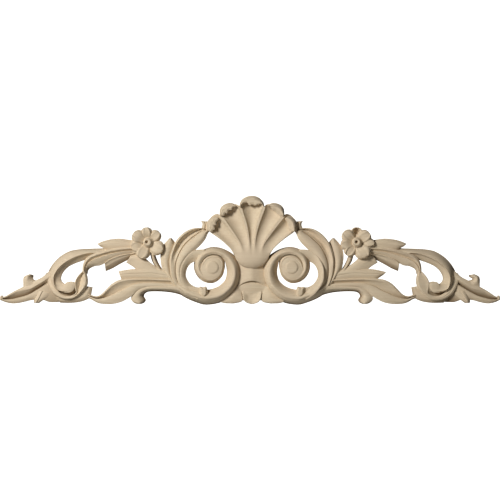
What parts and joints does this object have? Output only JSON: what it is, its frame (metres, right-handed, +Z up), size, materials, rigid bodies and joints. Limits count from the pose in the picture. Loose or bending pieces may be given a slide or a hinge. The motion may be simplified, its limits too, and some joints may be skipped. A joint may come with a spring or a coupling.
{
  "type": "carved wood applique",
  "caption": "Long pierced wood applique for surface mounting: a fluted shell between volutes, with flowers and leaf scrolls tapering to a leaf at either end.",
  "frame": {"origin": "on the flat back face, on the shell's centre line, halfway up the carving", "axes": "+X to the viewer's right along the length, +Z up, +Y out of the back into the surface that carries it, so the carved front faces -Y"},
  "size_m": [0.7111, 0.0216, 0.1548],
  "materials": {
    "sanded_maple": "bare pale hardwood, carved and sanded, with a fine straight grain along its length and no stain or varnish"
  },
  "bodies": {
    "root": {"carved_applique": "sanded_maple"}
  },
  "joints": []
}
